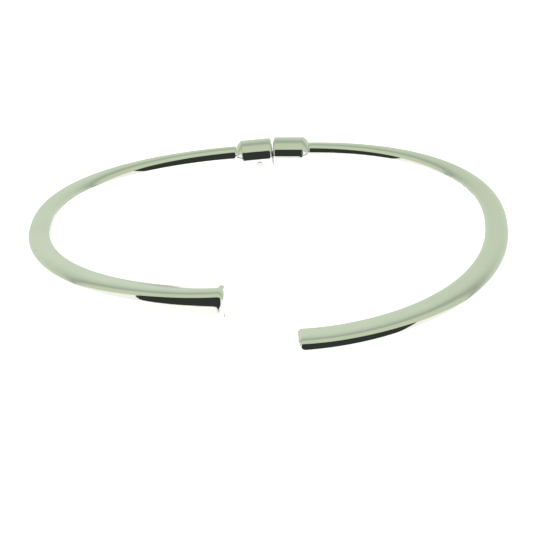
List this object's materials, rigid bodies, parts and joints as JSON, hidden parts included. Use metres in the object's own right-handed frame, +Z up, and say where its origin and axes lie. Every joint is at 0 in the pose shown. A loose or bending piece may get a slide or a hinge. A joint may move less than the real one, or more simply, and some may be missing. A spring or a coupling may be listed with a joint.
{
  "type": "hinged bangle bracelet",
  "caption": "Open oval bangle: two tapered domed metal arms joined at the back by a sprung barrel hinge, with a gap between flat ends at the front.",
  "frame": {"origin": "centre of the footprint, on the surface the bangle lies on", "axes": "+Z up from the surface; -Y towards the gap between the arms, +Y towards the hinge; +X towards the right arm"},
  "size_m": [0.067, 0.0584, 0.0116],
  "materials": {
    "polished_silver": "mirror polished, with fine handling scratches",
    "pin_silver": "filed flush and polished",
    "hinge_steel": "turned, hidden inside the barrel"
  },
  "bodies": {
    "right_side": {"right_arm": "polished_silver", "right_collar": "polished_silver", "right_barrel": "polished_silver", "hinge_pin": "pin_silver"},
    "rod_link": {"eye_rod": "hinge_steel", "seat_nut": "hinge_steel", "return_spring": "hinge_steel"},
    "washer": {"thrust_washer": "hinge_steel"},
    "left_side": {"left_arm": "polished_silver", "left_collar": "polished_silver", "left_barrel": "polished_silver", "guide_bush": "hinge_steel", "bush_pin": "pin_silver"}
  },
  "joints": [
    {"name": "arm_open", "type": "hinge", "parent": "right_side", "child": "rod_link", "pos_m": [0.00106, 0.02668, 0.00286], "axis": [0.0646, 0.0109, -0.9979], "range_deg": [0, 25], "stiffness_Nm_per_rad": 0.1, "springref_deg": -11.46},
    {"name": "spring_slide", "type": "slide", "parent": "rod_link", "child": "washer", "axis": [-0.9935, -0.0936, -0.0653], "range_m": [0, 0.00056], "deforming": ["return_spring"]},
    {"name": "arm_twist", "type": "hinge", "parent": "washer", "child": "left_side", "pos_m": [0.00106, 0.02668, 0.00286], "axis": [-0.9935, -0.0936, -0.0653], "range_deg": [-24, 8]}
  ],
  "couplings": [
    {"joint": "spring_slide", "follows": "arm_open", "m_per_rad": 0.00125}
  ]
}
